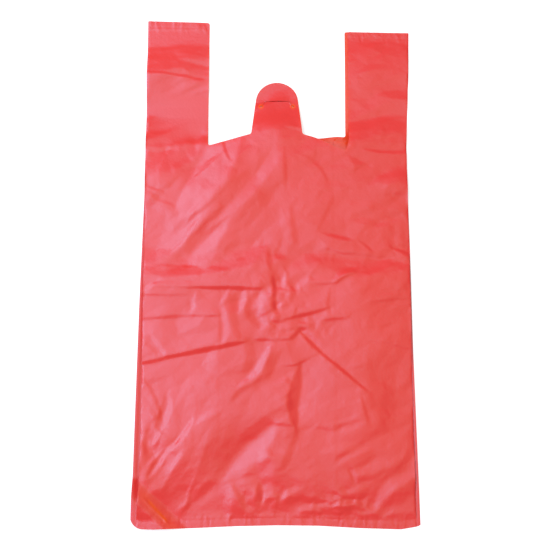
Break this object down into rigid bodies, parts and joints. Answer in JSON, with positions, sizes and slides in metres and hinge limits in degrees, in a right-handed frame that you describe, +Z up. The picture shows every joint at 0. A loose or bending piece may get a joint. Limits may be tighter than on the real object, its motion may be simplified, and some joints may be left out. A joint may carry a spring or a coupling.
{
  "type": "plastic carrier bag",
  "caption": "Vest-style plastic carrier bag in thin red film, lying flat, with side gussets, loop handles, an open mouth and a rounded hanging tab.",
  "frame": {"origin": "on the table under the middle of the bag's length and width", "axes": "+X across the bag, +Y from the bottom weld to the handles, +Z up out of the front panel"},
  "size_m": [0.28, 0.53, 0.0108],
  "materials": {
    "red_film": "satin blown film"
  },
  "bodies": {
    "root": {"carrier_bag": "red_film"}
  },
  "joints": []
}
